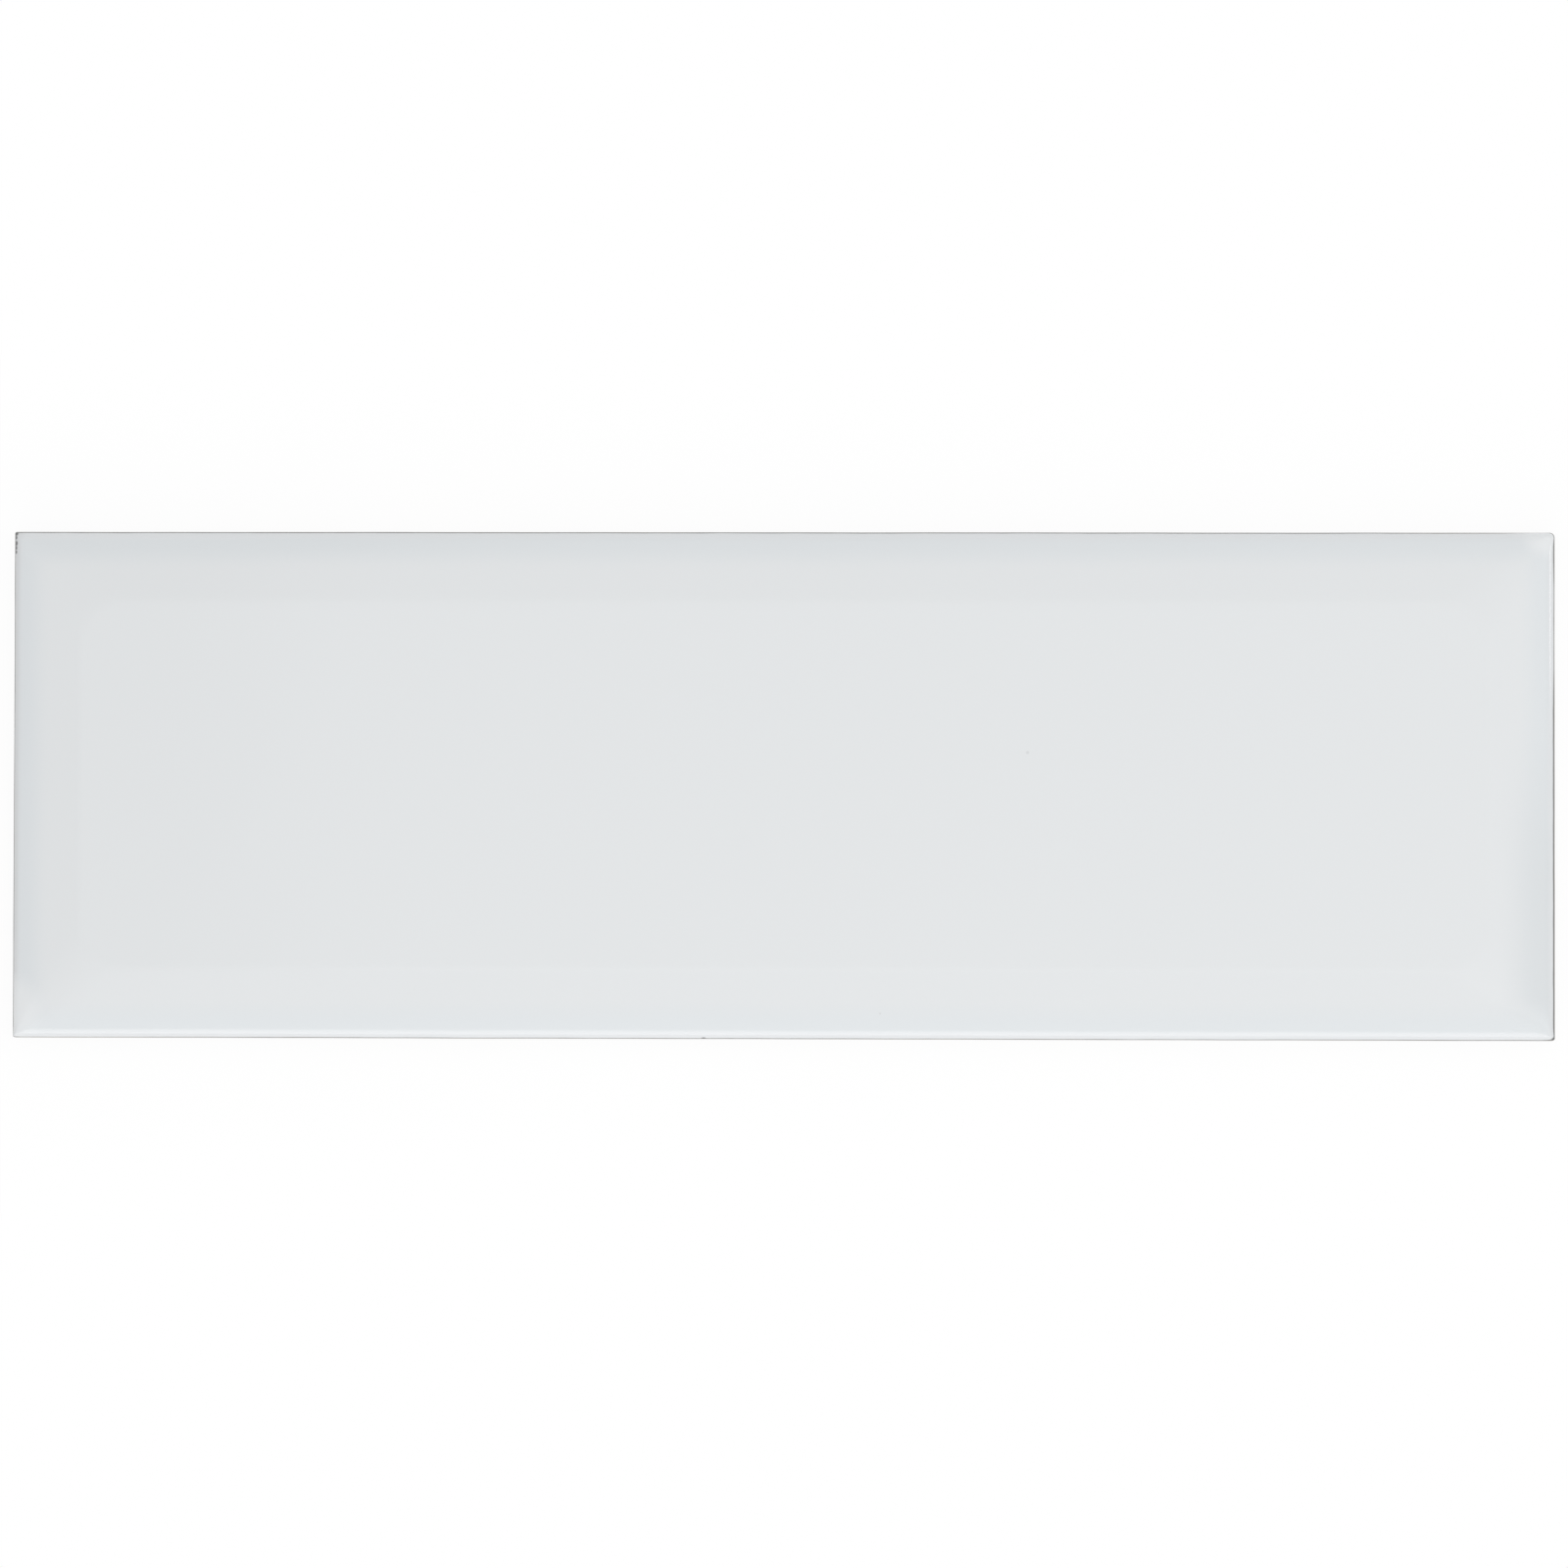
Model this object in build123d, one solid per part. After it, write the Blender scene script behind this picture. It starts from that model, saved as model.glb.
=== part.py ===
"""Bevelled ceramic wall tile: one pressed, glazed and fired piece, lying on its back with its face up.

Millimetres, +Z up. The origin is in the middle of the back, X runs along the tile and Y across it.
"""
import os
from math import cos, isclose, radians, sin, tan

from build123d import *

# Overall size
LENGTH = 298.5  # along X, at the widest, just above the back
WIDTH = 98.4  # along Y, at the same height
THICKNESS = 8.5  # from the back to the raised field
CORNER_RADIUS = 0.8  # rounding of the upright corners, carried on up the mitred hips

# Section of the edge, followed from the field outwards; angles are steepness below level
CREST_RADIUS = 9.0  # soft bend where the field turns into the bevel
BEVEL_ANGLE = 10.0  # steepness of the flat part of the bevel
SLOPE_WIDTH = 7.0  # plan width of that flat part
ROLL_WIDTH = 5.0  # plan width of the rolled shoulder below it
ROLL_ANGLE = 24.0  # steepness at which the shoulder meets the lip
LIP_RADIUS = 2.6  # rounding from the shoulder into the side
SIDE_DRAFT = 3.0  # degrees off upright: the side flares towards the back, to leave its die

# Keyed back: a lattice of ribs between shallow pockets that the adhesive fills
BACK_CHAMFER = 0.4  # break of the edge round the back
BACK_BAND = 8.0  # least width of the plain band round the lattice
KEY_PITCH = 14.0  # from one pocket to the next, both ways
KEY_RIB = 3.0  # width of a rib at its foot
KEY_DEPTH = 0.6  # depth of a pocket
KEY_DRAFT = 30.0  # degrees off upright of a pocket's walls

SAME_PLACE = 1e-4  # how near a middle has to be to count as on a mitre


def arc_run(radius, start, end):
    """Plan width of an arc that steepens from the start angle to the end angle."""
    return radius * (sin(radians(end)) - sin(radians(start)))


def arc_drop(radius, start, end):
    """Height that the same arc loses."""
    return radius * (cos(radians(start)) - cos(radians(end)))


# Angles, heights and widths that follow from the section
side_angle = 90 - SIDE_DRAFT
roll_radius = ROLL_WIDTH / arc_run(1, BEVEL_ANGLE, ROLL_ANGLE)
slope_foot = THICKNESS - SLOPE_WIDTH * tan(radians(BEVEL_ANGLE))
roll_foot = slope_foot - arc_drop(roll_radius, BEVEL_ANGLE, ROLL_ANGLE)
side_height = roll_foot - arc_drop(LIP_RADIUS, ROLL_ANGLE, side_angle)
foot_flare = BACK_CHAMFER * sin(radians(SIDE_DRAFT))  # the sharp foot that the chamfer takes off
side_run = side_height * tan(radians(SIDE_DRAFT)) - foot_flare
rim_width = side_run + arc_run(LIP_RADIUS, ROLL_ANGLE, side_angle)
slope_end = rim_width + ROLL_WIDTH
bevel_width = slope_end + SLOPE_WIDTH
crest_reach = CREST_RADIUS * tan(radians(BEVEL_ANGLE / 2))


def edge_section(span):
    """Upright section across a span of the tile: a tangent chain from the field to the foot, mirrored."""
    half = span / 2
    with BuildSketch(Plane.XZ) as section:
        with BuildLine():
            field = Line((0, THICKNESS), (half - bevel_width - crest_reach, THICKNESS))
            crest = JernArc(field @ 1, field % 1, CREST_RADIUS, -BEVEL_ANGLE)
            slope = Line(crest @ 1, (half - slope_end, slope_foot))
            roll = JernArc(slope @ 1, slope % 1, roll_radius, BEVEL_ANGLE - ROLL_ANGLE)
            lip = JernArc(roll @ 1, roll % 1, LIP_RADIUS, ROLL_ANGLE - side_angle)
            side = Line(lip @ 1, (half + foot_flare, 0))
            Polyline(side @ 1, (0, 0), field @ 0)
        make_face()
        mirror(about=Plane.YZ)
    return section.sketch


def pressed_body():
    """The long and the cross section extruded through each other, so that the bevels mitre at 45 degrees."""
    along = extrude(Rot(Z=90) * edge_section(WIDTH), LENGTH, both=True)
    across = extrude(edge_section(LENGTH), WIDTH, both=True)
    body = along & across

    def on_hip(edge):
        middle = edge.center()
        return isclose(abs(middle.X) - abs(middle.Y), (LENGTH - WIDTH) / 2, abs_tol=SAME_PLACE)

    body = fillet(body.edges().filter_by(on_hip), CORNER_RADIUS)
    back_edges = body.faces().sort_by(Axis.Z)[0].outer_wire().edges()
    return chamfer(back_edges, BACK_CHAMFER)


def key_pockets():
    """The drafted square pockets of the back, as many each way as the band leaves room for."""
    side = KEY_PITCH - KEY_RIB
    columns = int((LENGTH - 2 * BACK_BAND + KEY_RIB) // KEY_PITCH)
    rows = int((WIDTH - 2 * BACK_BAND + KEY_RIB) // KEY_PITCH)
    pocket = extrude(Rectangle(side, side), KEY_DEPTH, taper=KEY_DRAFT)
    return [place * pocket for place in GridLocations(KEY_PITCH, KEY_PITCH, columns, rows)]


tile = pressed_body() - key_pockets()
tile.label = "tile"

os.makedirs("parts", exist_ok=True)
export_step(tile, "parts/tile.step")

print(f"bevel {bevel_width:.2f} wide, rim {roll_foot:.2f} high at the lip, side {side_height:.2f} high")
print(f"shoulder radius {roll_radius:.1f}, volume {tile.volume / 1000:.1f} cm3, {len(tile.faces())} faces")
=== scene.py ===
# %% [markdown]
# # A bevelled wall tile
# The object is one piece of fired clay: a rectangle with a raised flat field, a sloped bevel on every
# side and a rounded rim. A glossy white glaze covers the face and runs out on the rim, and below it
# the bare clay body shows. Blender gets the tile's exact solid as a fixed frame. This lesson puts a
# finer skin over that solid and gives it its two finishes.

# %% Load the frame
import math

import bpy
import numpy as np
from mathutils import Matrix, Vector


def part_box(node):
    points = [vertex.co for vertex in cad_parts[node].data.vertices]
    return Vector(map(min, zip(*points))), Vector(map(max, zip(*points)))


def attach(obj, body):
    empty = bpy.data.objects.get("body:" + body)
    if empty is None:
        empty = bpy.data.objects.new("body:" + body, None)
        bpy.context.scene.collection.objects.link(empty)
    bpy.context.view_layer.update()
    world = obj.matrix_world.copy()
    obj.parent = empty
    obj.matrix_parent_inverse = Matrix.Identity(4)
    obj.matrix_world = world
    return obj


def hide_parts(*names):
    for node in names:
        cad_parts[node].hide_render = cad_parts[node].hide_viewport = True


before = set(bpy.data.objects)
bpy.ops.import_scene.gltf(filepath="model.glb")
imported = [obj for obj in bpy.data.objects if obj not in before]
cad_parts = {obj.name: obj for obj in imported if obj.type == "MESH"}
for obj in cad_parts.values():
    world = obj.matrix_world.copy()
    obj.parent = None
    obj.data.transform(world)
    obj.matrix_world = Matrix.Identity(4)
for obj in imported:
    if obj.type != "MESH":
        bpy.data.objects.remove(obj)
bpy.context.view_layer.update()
MM = 0.001
low, high = (np.array(corner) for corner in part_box("tile"))
HALF_LENGTH, HALF_WIDTH = (high - low)[:2] / 2
THICKNESS = (high - low)[2]
print(f"tile {2 * HALF_LENGTH / MM:.1f} x {2 * HALF_WIDTH / MM:.1f} x {THICKNESS / MM:.1f} mm")

# %% [markdown]
# ## The section of the edge
# Cut the tile across and its edge is a chain of lines and arcs that never breaks: field, crest,
# slope, rolled shoulder, lip, drafted side, and a small round under it. A chain like that can be
# followed by its steepness alone. An arc of radius r that steepens from one angle to another moves
# outwards by r times the difference of the sines and drops by r times the difference of the cosines,
# so no point has to be typed in. The side is as tall as the other pieces leave it.

# %% Arcs and straights of a section


def bend(radius, start, end, steps):
    """Steps along an arc, as run and drop: r (sin t - sin start) and r (cos start - cos t)."""
    turn = np.linspace(start, end, steps + 1)[1:]
    return radius * (np.sin(turn) - np.sin(start)), radius * (np.cos(start) - np.cos(turn))


def straight(run, drop, steps):
    """Equal steps along a straight stretch with that run and drop."""
    share = np.linspace(0, 1, steps + 1)[1:]
    return run * share, drop * share


# %% The edge from the field down to the back
CREST_RADIUS = 9.0 * MM
BEVEL_ANGLE = math.radians(10.0)
SLOPE_WIDTH = 7.0 * MM
ROLL_WIDTH = 5.0 * MM
ROLL_ANGLE = math.radians(24.0)
LIP_RADIUS = 2.6 * MM
SIDE_ANGLE = math.radians(87.0)
BACK_ROUND = 0.4 * MM
CREST_STEPS, SLOPE_STEPS, ROLL_STEPS = 8, 5, 12
LIP_STEPS, SIDE_STEPS, UNDER_STEPS = 16, 8, 6


def edge_profile():
    """Inset from the outline and height of the edge's section, from the back plane up to the field."""
    crest = bend(CREST_RADIUS, 0, BEVEL_ANGLE, CREST_STEPS)
    slope_run = SLOPE_WIDTH - crest[0][-1] + CREST_RADIUS * math.tan(BEVEL_ANGLE / 2)
    slope = straight(slope_run, slope_run * math.tan(BEVEL_ANGLE), SLOPE_STEPS)
    roll_radius = ROLL_WIDTH / (math.sin(ROLL_ANGLE) - math.sin(BEVEL_ANGLE))
    roll = bend(roll_radius, BEVEL_ANGLE, ROLL_ANGLE, ROLL_STEPS)
    lip = bend(LIP_RADIUS, ROLL_ANGLE, SIDE_ANGLE, LIP_STEPS)
    under = bend(BACK_ROUND, SIDE_ANGLE, math.pi, UNDER_STEPS)
    side_drop = THICKNESS - sum(piece[1][-1] for piece in (crest, slope, roll, lip, under))
    side = straight(side_drop / math.tan(SIDE_ANGLE), side_drop, SIDE_STEPS)
    run, drop = np.zeros(1), np.zeros(1)
    for piece_run, piece_drop in (crest, slope, roll, lip, side, under):
        run = np.append(run, run[-1] + piece_run)
        drop = np.append(drop, drop[-1] + piece_drop)
    return (run.max() - run)[::-1], (THICKNESS - drop)[::-1]


INSET, HEIGHT = edge_profile()
FIELD_INSET = INSET[-1]
print(f"section of {len(INSET)} points, field starts {FIELD_INSET / MM:.2f} mm inside the outline")

# %% [markdown]
# ## The keyed back
# The press leaves shallow square pockets in the back, so that adhesive can grip it. The grid lines of
# the mesh are laid where those pockets need them, at the top and the foot of each wall, and they
# crowd together at the corners, where the outline is rounded. Face and back share the lines, so the
# rim between them closes without a seam.

# %% Grid lines along a side
BACK_BAND = 8.0 * MM
KEY_PITCH = 14.0 * MM
KEY_RIB = 3.0 * MM
KEY_DEPTH = 0.6 * MM
KEY_DRAFT = math.radians(30.0)
KEY_WALL = KEY_DEPTH * math.tan(KEY_DRAFT)
POCKET_HALF = (KEY_PITCH - KEY_RIB) / 2
WALL_SOFT = 0.15 * MM
CORNER_STEPS = np.geomspace(0.1, 9.0, 18) * MM
LINE_DIGITS = 7


def pocket_centres(half):
    """Middles of the pockets along a side: as many as the band leaves room for, centred."""
    count = int((2 * (half - BACK_BAND) + KEY_RIB) // KEY_PITCH)
    return (np.arange(count) - (count - 1) / 2) * KEY_PITCH


def side_lines(half):
    """Grid lines from -half to half: at each pocket's walls, its middle and rib, and near both corners."""
    wall = POCKET_HALF + np.array([WALL_SOFT, 0, -KEY_WALL, -KEY_WALL - WALL_SOFT])
    across = np.concatenate([-wall, [0], wall, [KEY_PITCH / 2]])
    inner = (pocket_centres(half)[:, None] + across).ravel()
    near = half - np.append(CORNER_STEPS, 0)
    return np.unique(np.concatenate([inner, near, -near]).round(LINE_DIGITS))


def pocket_ramp(place, half):
    """Depth in a pocket by place along a side: 0 on a rib, 1 on the floor, 3 u^2 - 2 u^3 on the wall."""
    off = np.abs(place[:, None] - pocket_centres(half)).min(axis=1)
    ramp = np.clip((POCKET_HALF + WALL_SOFT - off) / (KEY_WALL + 2 * WALL_SOFT), 0, 1)
    return ramp * ramp * (3 - 2 * ramp)


lines_x, lines_y = side_lines(HALF_LENGTH), side_lines(HALF_WIDTH)
print(f"{len(pocket_centres(HALF_LENGTH))} by {len(pocket_centres(HALF_WIDTH))} pockets")
print(f"{len(lines_x)} grid lines along, {len(lines_y)} across")

# %% [markdown]
# ## What pressing and firing do to the shape
# A real tile is not quite its drawing. The corners are worn to different radii, the mitres between
# the bevels are filled by glaze, and both the rim and the field have waves of a few hundredths of a
# millimetre, which show where something is reflected in them. All of it goes inwards, so that the
# skin never leaves the solid's box. Each is a formula on whole arrays.

# %% Worn corners and soft mitres
CORNER_RADII = {(-1, 1): 0.35 * MM, (1, 1): 1.0 * MM, (-1, -1): 0.3 * MM, (1, -1): 0.45 * MM}
CORNER_HOLD = 1.0 * MM
HIP_RADIUS = 8.0 * MM
HIP_GROWTH = 0.6
NOT_ZERO = 1e-12


def corner_radius(x, y, inset):
    """The nearest corner's own radius on the side, growing to the mitre's at the field as a power."""
    own = sum(r * (np.sign(x) == sx) * (np.sign(y) == sy) for (sx, sy), r in CORNER_RADII.items())
    share = np.clip((inset - CORNER_HOLD) / (FIELD_INSET - CORNER_HOLD), 0, 1) ** HIP_GROWTH
    return own + (HIP_RADIUS - own) * share


def round_corners(x, y, half_x, half_y, radius):
    """Pulls corner squares into quarter discs: each offset is scaled by its longest side / its length."""
    over_x = np.maximum(np.abs(x) - half_x + radius, 0)
    over_y = np.maximum(np.abs(y) - half_y + radius, 0)
    length = np.maximum(np.hypot(over_x, over_y), NOT_ZERO)
    shrink = np.where((over_x > 0) & (over_y > 0), np.maximum(over_x, over_y) / length, 1)
    return x - np.sign(x) * over_x * (1 - shrink), y - np.sign(y) * over_y * (1 - shrink)


print("corner radii in mm:", [round(radius / MM, 2) for radius in CORNER_RADII.values()])

# %% Wandering rim and waves in the field
SEED = 4
random = np.random.default_rng(SEED)
RIM_WAVES = np.array([21.0, 38.0, 67.0, 113.0]) * MM
WANDER = 0.06 * MM
WANDER_FADE = 6.0 * MM
FIELD_WAVES = np.array([17.0, 29.0, 47.0]) * MM
WAVE_DEPTH = 0.02 * MM
WAVE_HEADINGS = np.radians([37.0, 151.0])


def ripple(along, waves):
    """A mean of sines of different lengths and random phases, from 0 to 1."""
    phase = random.uniform(0, 2 * math.pi, len(waves))
    sines = [np.sin(2 * math.pi * along / wave + shift) for wave, shift in zip(waves, phase)]
    return 0.5 + 0.5 * np.mean(sines, axis=0)


def wander(x, y):
    """Moves points near an edge inwards by that edge's ripple, fading with distance from the edge."""
    for sign in (-1, 1):
        near_end = np.exp((sign * x - HALF_LENGTH) / WANDER_FADE)
        near_side = np.exp((sign * y - HALF_WIDTH) / WANDER_FADE)
        inward_x = WANDER * ripple(y, RIM_WAVES) * near_end
        inward_y = WANDER * ripple(x, RIM_WAVES) * near_side
        x, y = x - sign * inward_x, y - sign * inward_y
    return x, y


def sink(x, y, z):
    """Lowers the face by crossing ripples; the square of the height keeps the back still."""
    swell = sum(ripple(math.cos(h) * x + math.sin(h) * y, FIELD_WAVES) for h in WAVE_HEADINGS)
    return z - WAVE_DEPTH * swell * np.clip(z / THICKNESS, 0, 1) ** 2


face_wave = WAVE_DEPTH * len(WAVE_HEADINGS)
print(f"the rim wanders by up to {WANDER / MM:.2f} mm and the face sinks by up to {face_wave / MM:.2f} mm")

# %% [markdown]
# ## One closed skin
# The skin is three grids that share their edges. The section is carried round the outline as rings,
# the field closes the innermost ring, and the keyed back closes the outermost one. Each grid is a
# formula of two parameters, and the faces come from an array of vertex numbers, so the rings' own
# vertices can serve as the border of the two caps.

# %% Rings, field and back as arrays


def outline(xs, ys):
    """The border of a grid, counter-clockwise from its lowest corner."""
    rise, run = len(ys) - 1, len(xs) - 1
    x = np.concatenate([xs[:-1], np.full(rise, xs[-1]), xs[:0:-1], np.full(rise, xs[0])])
    y = np.concatenate([np.full(run, ys[0]), ys[:-1], np.full(run, ys[-1]), ys[:0:-1]])
    return x, y


def inset_plan(x, y, inset):
    """Shrinks the plan by an inset on every side, then rounds its corners."""
    half_x, half_y = HALF_LENGTH - inset, HALF_WIDTH - inset
    x, y = x * half_x / HALF_LENGTH, y * half_y / HALF_WIDTH
    return round_corners(x, y, half_x, half_y, corner_radius(x, y, inset))


border_x, border_y = outline(lines_x, lines_y)
ring_inset = np.repeat(INSET[:, None], len(border_x), axis=1)
ring_z = np.repeat(HEIGHT[:, None], len(border_x), axis=1)
ring_x, ring_y = inset_plan(border_x + 0 * ring_inset, border_y + 0 * ring_inset, ring_inset)

cap_x, cap_y = np.meshgrid(lines_x[1:-1], lines_y[1:-1])
field_x, field_y = inset_plan(cap_x, cap_y, FIELD_INSET)
field_z = np.full(cap_x.shape, THICKNESS)
back_x, back_y = inset_plan(cap_x, cap_y, INSET[0])
ramp_x, ramp_y = pocket_ramp(lines_x[1:-1], HALF_LENGTH), pocket_ramp(lines_y[1:-1], HALF_WIDTH)
back_z = KEY_DEPTH * np.minimum(ramp_x[None, :], ramp_y[:, None])

x = np.concatenate([part.ravel() for part in (ring_x, field_x, back_x)])
y = np.concatenate([part.ravel() for part in (ring_y, field_y, back_y)])
z = np.concatenate([part.ravel() for part in (ring_z, field_z, back_z)])
x, y = wander(x, y)
z = sink(x, y, z)
print(f"{len(INSET)} rings of {len(border_x)} points and two caps of {cap_x.size}")

# %% Faces from vertex numbers


def cap_numbers(border, first, inner_rows, inner_columns):
    """Vertex numbers of a grid with a ring as its border, filled row by row from a first number."""
    rows, columns = inner_rows + 2, inner_columns + 2
    numbers = np.empty((rows, columns), dtype=np.int64)
    inner = first + np.arange(inner_rows * inner_columns)
    numbers[1:-1, 1:-1] = inner.reshape(inner_rows, inner_columns)
    bottom, right, top, left = np.split(border, np.cumsum([columns - 1, rows - 1, columns - 1]))
    numbers[0, :-1], numbers[:-1, -1] = bottom, right
    numbers[-1, :0:-1], numbers[:0:-1, 0] = top, left
    return numbers


def grid_faces(numbers):
    """Quads of a grid of vertex numbers, counter-clockwise seen from the side where rows run up."""
    corners = numbers[:-1, :-1], numbers[:-1, 1:], numbers[1:, 1:], numbers[1:, :-1]
    return np.stack(corners, axis=-1).reshape(-1, 4)


ring_numbers = np.arange(ring_x.size).reshape(ring_x.shape)
ring_closed = np.hstack([ring_numbers, ring_numbers[:, :1]])
field_numbers = cap_numbers(ring_numbers[-1], ring_x.size, *cap_x.shape)
back_numbers = cap_numbers(ring_numbers[0], ring_x.size + field_x.size, *cap_x.shape)
back_faces = grid_faces(back_numbers)[:, ::-1]
faces = np.concatenate([grid_faces(ring_closed), grid_faces(field_numbers), back_faces])
print(f"{len(faces)} quads, {len(back_faces)} of them on the back")

# %% The mesh and its object


def mesh_piece(name, points, quads):
    """A smooth mesh object at the origin from an array of points and an array of quads."""
    mesh = bpy.data.meshes.new(name)
    mesh.vertices.add(len(points))
    mesh.vertices.foreach_set("co", points.ravel())
    mesh.loops.add(quads.size)
    mesh.loops.foreach_set("vertex_index", quads.ravel())
    mesh.polygons.add(len(quads))
    mesh.polygons.foreach_set("loop_start", np.arange(0, quads.size, 4))
    mesh.update(calc_edges=True)
    mesh.validate()
    mesh.shade_smooth()
    piece = bpy.data.objects.new(name, mesh)
    bpy.context.collection.objects.link(piece)
    return piece


tile = mesh_piece("glazed_tile", np.column_stack([x, y, z]), faces)
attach(tile, "root")
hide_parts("tile")
print(f"{tile.name} has {len(x)} points")

# %% [markdown]
# ## Shader maths as expressions
# Masks are easier to read as sums and products than as a web of nodes. A small class holds one socket.
# Its operators add Math nodes to the tree, and its node method adds any other kind.

# %% A socket that does sums


class Shade:
    """One output socket of a node tree, for use in Python expressions."""

    def __init__(self, tree, socket=None):
        self.tree = tree
        self.socket = socket

    def node(self, kind, settings, sockets, output=0):
        """Adds a node: settings first, then a value or a link on each named or numbered socket."""
        made = self.tree.nodes.new(kind)
        for name, value in settings.items():
            setattr(made, name, value)
        for name, value in sockets.items():
            if isinstance(value, Shade):
                self.tree.links.new(value.socket, made.inputs[name])
            else:
                made.inputs[name].default_value = value
        return Shade(self.tree, made.outputs[output] if made.outputs else None)

    def math(self, operation, left, right=0.0):
        """One Math node on two values."""
        return self.node("ShaderNodeMath", {"operation": operation}, {0: left, 1: right})

    def __add__(self, other):
        return self.math("ADD", self, other)

    def __sub__(self, other):
        return self.math("SUBTRACT", self, other)

    def __rsub__(self, other):
        return self.math("SUBTRACT", other, self)

    def __mul__(self, other):
        return self.math("MULTIPLY", self, other)

    __radd__ = __add__
    __rmul__ = __mul__

    def __neg__(self):
        return 0 - self

    def __abs__(self):
        return self.math("ABSOLUTE", self)

    def least(self, other):
        """The lesser of two values."""
        return self.math("MINIMUM", self, other)

    def most(self, other):
        """The greater of two values."""
        return self.math("MAXIMUM", self, other)

    def ease(self, start, end):
        """0 below start, 1 above end, and a smooth step between them."""
        sockets = {"Value": self, "From Min": start, "From Max": end}
        return self.node("ShaderNodeMapRange", {"interpolation_type": "SMOOTHSTEP"}, sockets)

    def blend(self, first, second):
        """The first colour where this mask is 0 and the second where it is 1."""
        sockets = {0: self, 6: first, 7: second}
        return self.node("ShaderNodeMix", {"data_type": "RGBA"}, sockets, output=2)


def new_material(name):
    """An empty node material and a shade to build it from."""
    material = bpy.data.materials.new(name)
    material.use_nodes = True
    material.node_tree.nodes.clear()
    return material, Shade(material.node_tree)


# %% [markdown]
# ## Places on the tile
# Every finish here is laid out by place: how high above the back, how far inside the outline, how near
# a flaw. All of them come from Object coordinates, so they stay put whatever the camera does. Noise
# on the same coordinates breaks the edges up, with its scale given as the size of its blotches.

# %% Masks by place
RIM_ZONE = 3.0 * MM
SPOT_SOFTNESS = 3  # a spot's radius over the radius of its full core
WIDEST = INSET.argmin()  # where the side ends and the round under it starts


class Place:
    """Object coordinates of one material, with the masks that the tile's finishes share."""

    def __init__(self, shade):
        self.shade = shade
        self.here = shade.node("ShaderNodeTexCoord", {}, {}, output="Object")
        split = [shade.node("ShaderNodeSeparateXYZ", {}, {0: self.here}, output=axis) for axis in "XYZ"]
        self.x, self.y, self.z = split
        self.along, self.across = self.x * (1 / HALF_LENGTH), self.y * (1 / HALF_WIDTH)
        self.inset = (HALF_LENGTH - abs(self.x)).least(HALF_WIDTH - abs(self.y))
        self.right = self.x.ease(HALF_LENGTH - RIM_ZONE, HALF_LENGTH)
        self.left = (-self.x).ease(HALF_LENGTH - RIM_ZONE, HALF_LENGTH)
        self.rear = self.y.ease(HALF_WIDTH - RIM_ZONE, HALF_WIDTH)
        self.front = (-self.y).ease(HALF_WIDTH - RIM_ZONE, HALF_WIDTH)

    def noise(self, size, detail=1.0):
        """Cloudy noise from about -1 to 1, with blotches of that size."""
        sockets = {"Vector": self.here, "Scale": 1 / size, "Detail": detail}
        return self.shade.node("ShaderNodeTexNoise", {}, sockets) * 2 - 1

    def spot(self, x, y, radius):
        """1 in the core of a round spot and 0 from its radius outwards; the section gives its height."""
        inset = min(HALF_LENGTH - abs(x), HALF_WIDTH - abs(y))
        sockets = {0: self.here, 1: (x, y, np.interp(inset, INSET[WIDEST:], HEIGHT[WIDEST:]))}
        away = self.shade.node("ShaderNodeVectorMath", {"operation": "DISTANCE"}, sockets, output="Value")
        return 1 - away.ease(radius / SPOT_SOFTNESS, radius)


print(f"the tile is widest {HEIGHT[WIDEST] / MM:.2f} mm above its back")

# %% [markdown]
# ## Where the glaze ends
# The glaze is poured over the face and gives out on the lip. Its edge is an uneven line that lies
# lowest along the front and highest on the right, and at the far right corner the glaze has run on
# down. Just below that edge a thin dark line of painted shade stands in for the shade on the tile's
# side; it differs from side to side: it fades at one end of each long side and has a faint gap on the
# right. A few dark specks of the same painted shade sit on the rim above it, most of them in a row by
# the far left corner. The height above the back, less the height of the glaze's edge, is the one value
# from which the glaze's mask and the line follow.

# %% Glaze edge, painted shade line and specks
GLAZE_EDGE = 4.45 * MM
FRONT_FALL = 0.35 * MM
RIGHT_RISE, RIGHT_DIP = 0.46 * MM, 0.28 * MM
GLAZE_FRAY = 0.12 * MM
GLAZE_SOFT = 0.10 * MM
RUN_START, RUN_FALL = 0.92, 0.6 * MM
ROW_X = -148.65 * MM
ROW_Y = np.array([48.6, 47.8, 46.7, 45.8, 45.0]) * MM
ROW_RADII = np.array([0.65, 0.55, 0.75, 0.55, 0.50]) * MM
SPECK_ROW = [(ROW_X, y, radius) for y, radius in zip(ROW_Y, ROW_RADII)]
LONE_SPECKS = [(-15.1 * MM, -48.92 * MM, 0.66 * MM), (148.8 * MM, -48.8 * MM, 0.90 * MM)]
LINE_RISE, LINE_FALL = 0.12 * MM, 0.75 * MM
REAR_LINE, REAR_FADE = 0.80, 0.60
FRONT_LINE, FRONT_FADE = 0.90, 0.65
LEFT_LINE = 0.96
RIGHT_LINE, RIGHT_FADE = 1.0, 0.55
GAP_START, GAP_END, GAP_REST = (0.22, 0.58), (0.74, 0.90), 0.3
FADE_START = 0.65
LINE_PATCHES = 0.10


def right_gap(place):
    """1 in the faint stretch of the right side, easing to 0 in front of it and to a rest behind it."""
    return place.across.ease(*GAP_START) - place.across.ease(*GAP_END) * (1 - GAP_REST)


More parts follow.
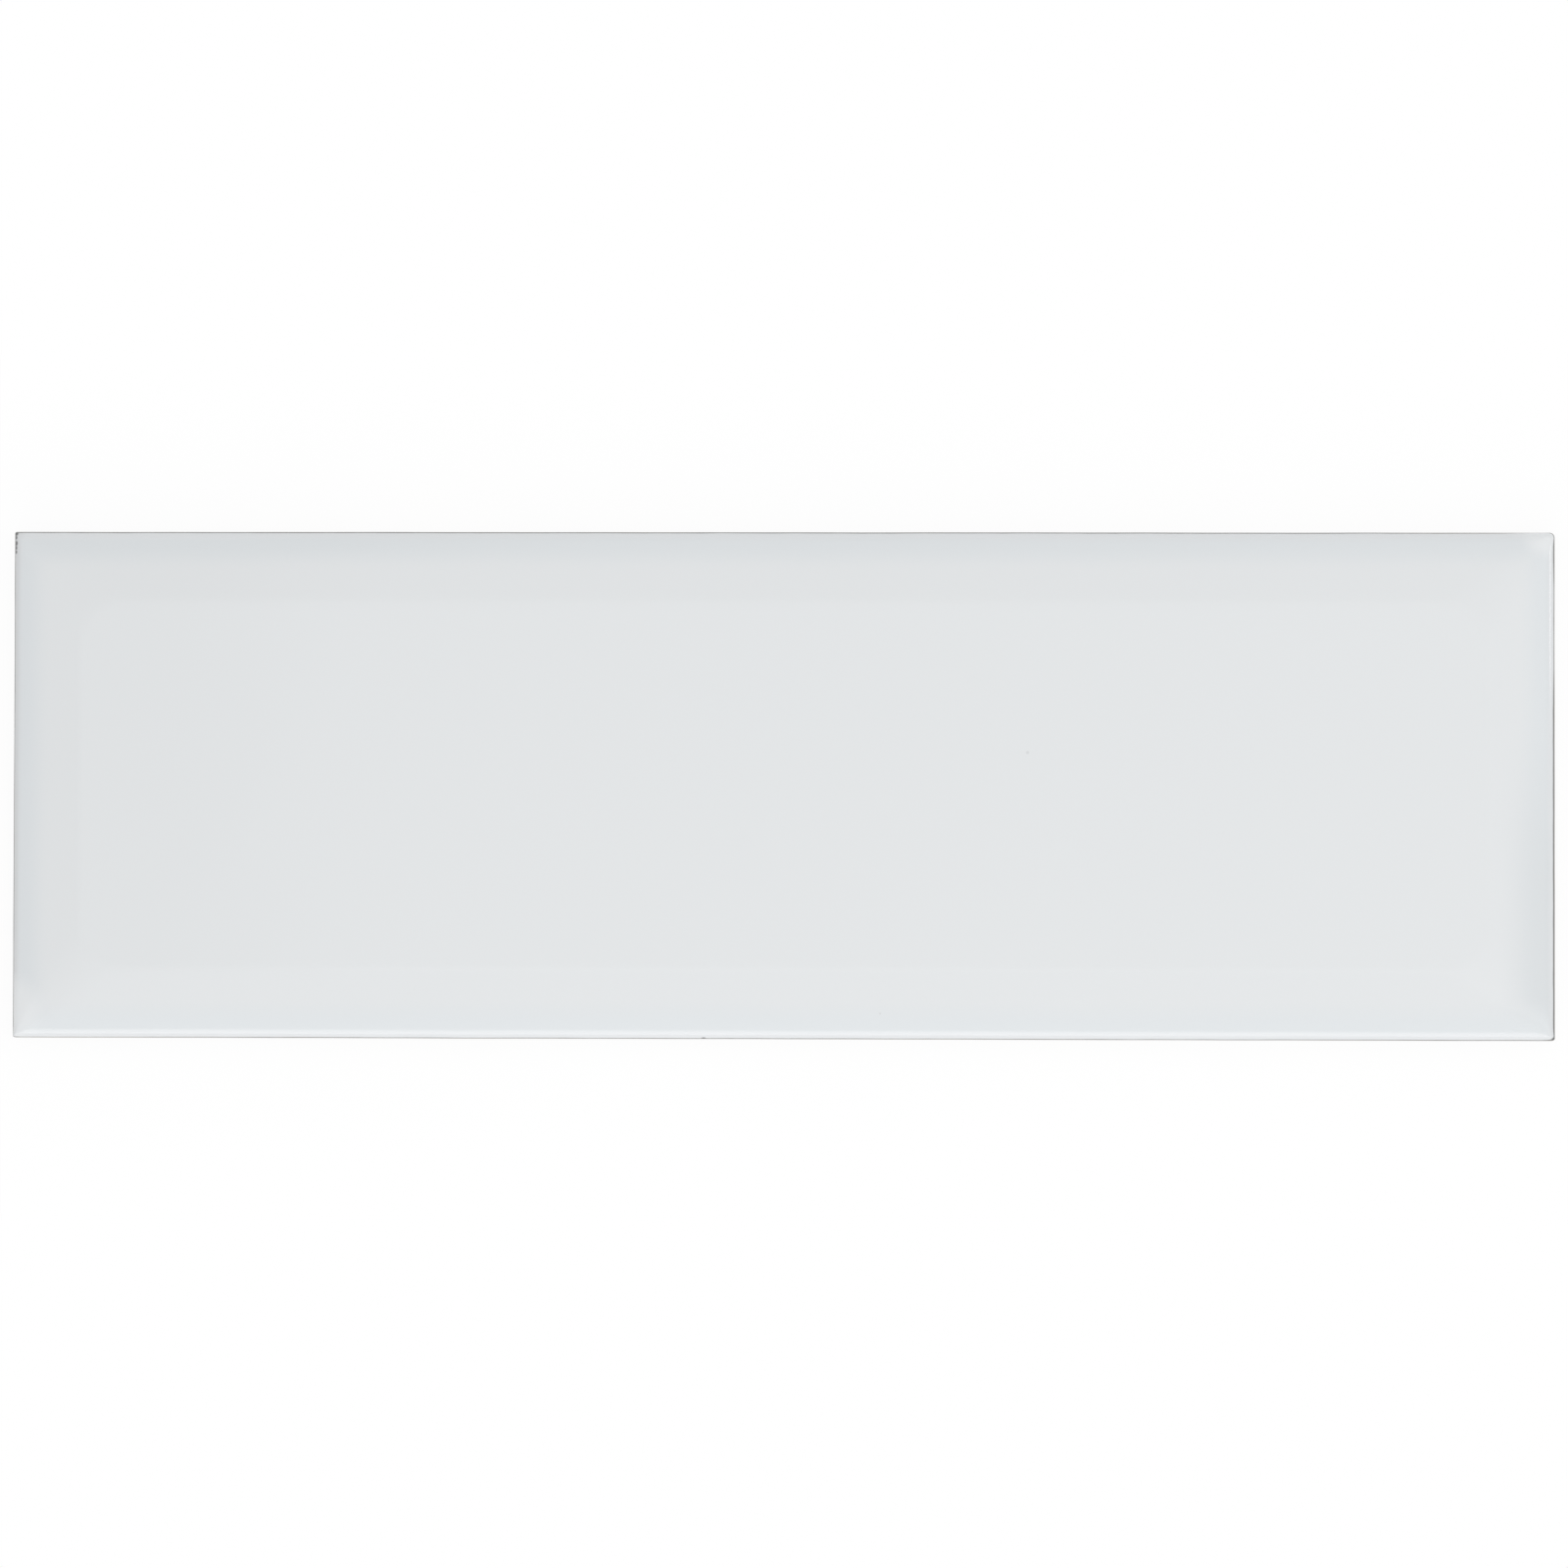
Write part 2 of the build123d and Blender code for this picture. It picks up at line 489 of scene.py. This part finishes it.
def above_glaze_edge(place, fray):
    """Height above the glaze's edge, which frays, falls in front and at the run, and rises on the right."""
    right = place.right * (RIGHT_RISE - right_gap(place) * RIGHT_DIP)
    run = place.rear * place.along.ease(RUN_START, 1)
    return place.z - GLAZE_EDGE + place.front * FRONT_FALL + run * RUN_FALL - right - fray * GLAZE_FRAY


def painted_edge_shade(place, above, cloud):
    """The painted shade line that stands in for the side's shade: dense at the glaze's edge, fading down,
    and of its own strength on each side.
    """
    line = above.ease(-LINE_FALL, -LINE_RISE) * (1 - above.ease(0, LINE_RISE))
    rear = place.rear * (REAR_LINE - place.along.ease(FADE_START, 1) * REAR_FADE)
    front = place.front * (FRONT_LINE - (-place.along).ease(FADE_START, 1) * FRONT_FADE)
    right = place.right * (RIGHT_LINE - right_gap(place) * RIGHT_FADE)
    sides = rear.most(front).most(right).most(place.left * LEFT_LINE)
    return line * (sides + cloud * LINE_PATCHES).least(1.0)


def painted_shade_specks(place, above):
    """Round dark specks of painted shade on the lip, which fade out below the glaze's edge with the line."""
    specks = sum(place.spot(*speck) for speck in SPECK_ROW + LONE_SPECKS)
    return specks * above.ease(-LINE_FALL, -LINE_RISE)


print(f"the glaze ends {GLAZE_EDGE / MM:.2f} mm above the back, with {len(SPECK_ROW + LONE_SPECKS)} specks")

# %% [markdown]
# ## Colours of the face and of the bare body
# The glaze is a thin layer of glass over pale clay. It is cool white on the field and a little bluer
# where it has run thick on the shoulder. Painted shade darkens the left lip and the right end towards
# the front, and painted highlights whiten two spots near corners. Two faint pinholes were left by
# bubbles. The body is matt and off-white, with fine dark grains.

# %% The two finishes
GLAZE = (0.758, 0.777, 0.788, 1)
GLAZE_SHOULDER = (0.728, 0.758, 0.776, 1)
GLAZE_LIP = (0.750, 0.768, 0.784, 1)
# painted shade colour for the left lip
LEFT_LIP_SHADE_PAINT = (0.655, 0.670, 0.682, 1)
# painted shade colour for the right end towards the front
RIGHT_END_SHADE_PAINT = (0.695, 0.722, 0.738, 1)
# painted highlight colour and the spots near two corners where it is painted
HIGHLIGHT_PAINT = (0.795, 0.813, 0.825, 1)
PAINTED_HIGHLIGHTS_AT = [(146.5 * MM, 48.4 * MM, 5.2 * MM), (-148.6 * MM, -43.0 * MM, 7.6 * MM)]
END_ZONE = 12.0 * MM
END_REAR, END_FRONT = (-0.3, 0.4), (-0.95, -0.82)
LEFT_LIP_SHADE_SPAN, LEFT_LIP_SHADE_LEAST = (-1.0, -0.4), 0.4
LIP_START, LIP_END = 1.0 * MM, 2.2 * MM
SHOULDER_START, SHOULDER_END = 3.0 * MM, 8.0 * MM
GLAZE_BLUR = 0.4 * MM
# colour of the painted shade line and specks at the glaze's edge
EDGE_SHADE_PAINT = (0.12, 0.12, 0.12, 1)
PINHOLE = (0.67, 0.69, 0.70, 1)
PINHOLES = [(47.3 * MM, 6.3 * MM, 0.45 * MM), (19.0 * MM, -44.0 * MM, 0.30 * MM)]
BODY = (0.54, 0.535, 0.52, 1)
BODY_WARM = (0.51, 0.495, 0.465, 1)
BODY_GRAIN = (0.36, 0.35, 0.33, 1)
WARM_FROM, WARM_TO = -0.4, 0.4
GRAIN_FROM, GRAIN_TO = 0.15, 0.5


def glaze_colour(place, cloud):
    """Field, shoulder and lip by distance inside the outline, with painted shade on the left lip and the
    right end and painted highlights near two corners.
    """
    inset = place.inset + cloud * GLAZE_BLUR
    outer = inset.ease(SHOULDER_START, SHOULDER_END).blend(GLAZE_SHOULDER, GLAZE)
    # painted shade on the right end towards the front
    right_end = place.x.ease(HALF_LENGTH - END_ZONE, HALF_LENGTH - RIM_ZONE)
    end_span = (-place.across).ease(*END_REAR) * place.across.ease(*END_FRONT)
    outer = (right_end * end_span).blend(outer, RIGHT_END_SHADE_PAINT)
    # painted shade on the left lip, lighter towards the front
    lip_shade_share = place.across.ease(*LEFT_LIP_SHADE_SPAN) * (1 - LEFT_LIP_SHADE_LEAST) + LEFT_LIP_SHADE_LEAST
    lip = (place.left * lip_shade_share).blend(GLAZE_LIP, LEFT_LIP_SHADE_PAINT)
    colour = inset.ease(LIP_START, LIP_END).blend(lip, outer)
    # painted highlights near two corners
    painted_highlights = sum(place.spot(*highlight) for highlight in PAINTED_HIGHLIGHTS_AT)
    return painted_highlights.blend(colour, HIGHLIGHT_PAINT)


def body_colour(cloud, grain):
    """Pale clay with warm clouds and dark grains."""
    clay = cloud.ease(WARM_FROM, WARM_TO).blend(BODY, BODY_WARM)
    return grain.ease(GRAIN_FROM, GRAIN_TO).blend(clay, BODY_GRAIN)


print(f"{len(PAINTED_HIGHLIGHTS_AT)} pools and {len(PINHOLES)} pinholes in the glaze")

# %% The tile's material
CLOUD_SIZE, FRAY_SIZE, GRAIN_SIZE = 22.0 * MM, 5.0 * MM, 0.4 * MM
GLAZE_ROUGH, BODY_ROUGH, ROUGH_CLOUDS = 0.12, 0.88, 0.03
GLAZE_IOR = 1.5
GRAIN_RELIEF = 0.03 * MM
PEEL_RELIEF = 0.0012 * MM
PINHOLE_DEPTH = 0.006 * MM


def glazed_ceramic():
    """Principled shader steered by a mask that is 1 on glaze and 0 on the bare body."""
    material, shade = new_material("glazed_ceramic")
    place = Place(shade)
    cloud, fray = place.noise(CLOUD_SIZE), place.noise(FRAY_SIZE)
    grain = place.noise(GRAIN_SIZE, detail=2.0)
    above = above_glaze_edge(place, fray)
    glazed = above.ease(-GLAZE_SOFT, GLAZE_SOFT)
    pinholes = sum(place.spot(*pinhole) for pinhole in PINHOLES)

    colour = glazed.blend(body_colour(cloud, grain), glaze_colour(place, cloud))
    # painted shade: the dark line under the glaze's edge and the dark specks on the lip
    painted_shade = painted_edge_shade(place, above, cloud).most(painted_shade_specks(place, above))
    colour = painted_shade.blend(colour, EDGE_SHADE_PAINT)
    colour = pinholes.blend(colour, PINHOLE)
    roughness = glazed * (GLAZE_ROUGH - BODY_ROUGH) + BODY_ROUGH + cloud * ROUGH_CLOUDS
    relief = (1 - glazed) * grain * GRAIN_RELIEF + glazed * fray * PEEL_RELIEF - pinholes * PINHOLE_DEPTH
    bump = shade.node("ShaderNodeBump", {}, {"Height": relief, "Distance": 1.0, "Strength": 1.0})
    sockets = {"Base Color": colour, "Roughness": roughness, "Normal": bump, "IOR": GLAZE_IOR}
    surface = shade.node("ShaderNodeBsdfPrincipled", {}, sockets)
    shade.node("ShaderNodeOutputMaterial", {}, {"Surface": surface})
    return material


tile.data.materials.append(glazed_ceramic())
print(f"glazed_ceramic has {len(tile.active_material.node_tree.nodes)} nodes")

# %% [markdown]
# ## Floor, light and camera
# The tile lies on a white floor under a large soft box. A card in front shines along the front lip,
# and a small bright one on the right makes the streak on that end. The floor and the sky are plain
# white to the camera, but the floor keeps a little of the tile's shadow.

# %% The floor
FLOOR_HALF = 3.0
FLOOR_BOUNCE = 0.75
SHADOW_SHARE = 0.10
SHADOW_NEAR, SHADOW_FAR = 10.0 * MM, 35.0 * MM
WHITE = (1, 1, 1, 1)


def seen_directly(shade):
    """1 for rays that show the background itself: from the camera, off gloss and through glass."""
    kinds = ("Is Camera Ray", "Is Glossy Ray", "Is Transmission Ray")
    camera_ray, glossy, through = (shade.node("ShaderNodeLightPath", {}, {}, output=kind) for kind in kinds)
    return camera_ray.most(glossy).most(through)


def white_floor():
    """An even glow as bright as a lit floor, and near the tile a share of matt white for the shadow."""
    material, shade = new_material("white_floor")
    glow = seen_directly(shade) * (1 - FLOOR_BOUNCE) + FLOOR_BOUNCE
    even = shade.node("ShaderNodeEmission", {}, {"Color": WHITE, "Strength": glow})
    matt = shade.node("ShaderNodeBsdfDiffuse", {}, {"Color": WHITE})
    by_camera = shade.node("ShaderNodeLightPath", {}, {}, output="Is Camera Ray")
    near = Place(shade).inset.ease(-SHADOW_FAR, -SHADOW_NEAR)
    shadow = by_camera * near * SHADOW_SHARE
    surface = shade.node("ShaderNodeMixShader", {}, {0: shadow, 1: even, 2: matt})
    shade.node("ShaderNodeOutputMaterial", {}, {"Surface": surface})
    return material


corners = FLOOR_HALF * np.array([(-1, -1, 0), (1, -1, 0), (1, 1, 0), (-1, 1, 0)], dtype=float)
floor = mesh_piece("floor", corners, np.array([[0, 1, 2, 3]]))
floor.data.materials.append(white_floor())
print(f"floor of {2 * FLOOR_HALF:.0f} m each way")

# %% Sky and lamps
SKY_LIGHT = 0.778


def studio_sky():
    """An even dim sky that lights the tile, and plain white where it is seen."""
    world = bpy.data.worlds.new("studio_sky")
    world.use_nodes = True
    world.node_tree.nodes.clear()
    shade = Shade(world.node_tree)
    strength = seen_directly(shade) * (1 - SKY_LIGHT) + SKY_LIGHT
    sky = shade.node("ShaderNodeBackground", {}, {"Color": WHITE, "Strength": strength})
    shade.node("ShaderNodeOutputWorld", {}, {"Surface": sky})
    bpy.context.scene.world = world


def soft_box(name, place, aim, size, radiance):
    """A rectangular area lamp; its power is radiance x pi x area."""
    lamp = bpy.data.lights.new(name, "AREA")
    lamp.shape = "RECTANGLE"
    lamp.size, lamp.size_y = size
    lamp.energy = radiance * math.pi * size[0] * size[1]
    box = bpy.data.objects.new(name, lamp)
    bpy.context.collection.objects.link(box)
    box.location = place
    across, along, down = np.array(aim, dtype=float) - np.array(place, dtype=float)
    lean = math.atan2(math.hypot(across, along), -down)
    box.rotation_euler = (lean, 0, math.atan2(along, across) - math.pi / 2)
    box.visible_camera = False
    print(f"{name} gives {lamp.energy:.2f} W")


studio_sky()
soft_box("overhead_box", place=(0.703, 0.491, 1.1), aim=(0.703, 0.491, 0), size=(1.82, 1.87), radiance=0.398)
soft_box("front_card", place=(0, -0.698, 0.224), aim=(0, 0, 0), size=(0.657, 0.54), radiance=1.405)
soft_box("right_card", place=(0.70, 0.075, 0.12), aim=(0.149, 0.03, 0), size=(0.07, 0.14), radiance=3.2)

# %% The camera
LENS, SENSOR = 120.0, 36.0
CAMERA_PLACE = (19.98 * MM, -18.35 * MM, 1014.4 * MM)
CAMERA_TILT = [math.radians(angle) for angle in (1.057, 1.111, 0.107)]

view = bpy.data.cameras.new("camera")
view.lens = LENS
view.sensor_width = SENSOR
camera = bpy.data.objects.new("camera", view)
camera.location = CAMERA_PLACE
camera.rotation_euler = CAMERA_TILT
bpy.context.collection.objects.link(camera)
bpy.context.scene.camera = camera
bpy.context.scene.view_settings.view_transform = "Standard"
print(f"camera {CAMERA_PLACE[2]:.3f} m above the floor, lens {LENS:.0f} mm")
